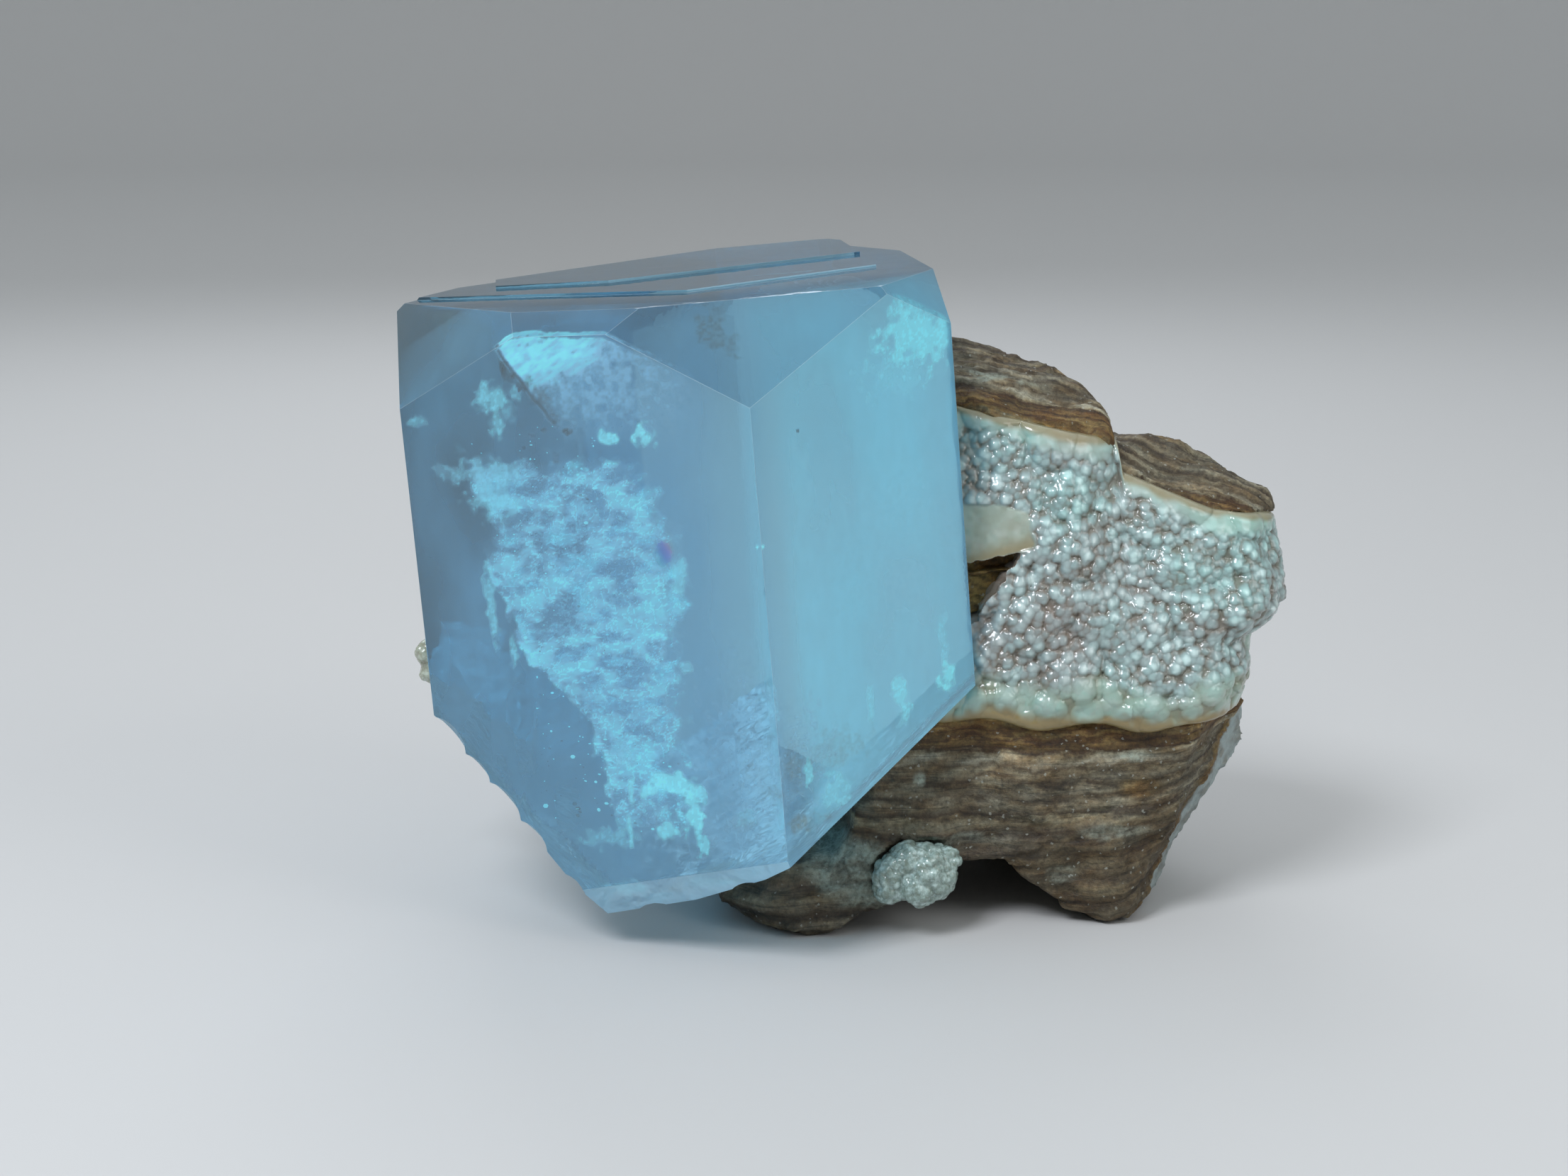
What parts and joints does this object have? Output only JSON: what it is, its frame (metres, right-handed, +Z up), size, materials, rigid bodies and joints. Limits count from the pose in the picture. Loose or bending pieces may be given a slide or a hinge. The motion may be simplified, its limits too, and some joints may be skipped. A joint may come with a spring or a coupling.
{
  "type": "aquamarine crystal specimen on matrix",
  "caption": "Stubby pale blue hexagonal beryl crystal with a bevelled flat top, standing against a loose layered rock with a grape-like chalcedony crust.",
  "frame": {"origin": "middle of the specimen's bounding box at the level that it stands on", "axes": "+X to the right seen from the front, +Y to the back, +Z up; the crystal leans 4.6 degrees to -X and its front edge faces -Y"},
  "size_m": [0.0822, 0.055, 0.0593],
  "materials": {
    "aquamarine": "clear, slightly milky pale blue beryl with flat natural faces",
    "layered_rock": "broken, layered grey-brown rock, dull",
    "chalcedony": "botryoidal grey-white chalcedony, waxy",
    "hyalite": "pale green-white lumpy opal, glassy",
    "cream_chalcedony": "cream chalcedony bead, waxy"
  },
  "bodies": {
    "root": {"aquamarine_crystal": "aquamarine", "matrix_rock": "layered_rock", "botryoidal_crust": "chalcedony", "hyalite_knob": "hyalite", "cream_bead": "cream_chalcedony"}
  },
  "joints": []
}
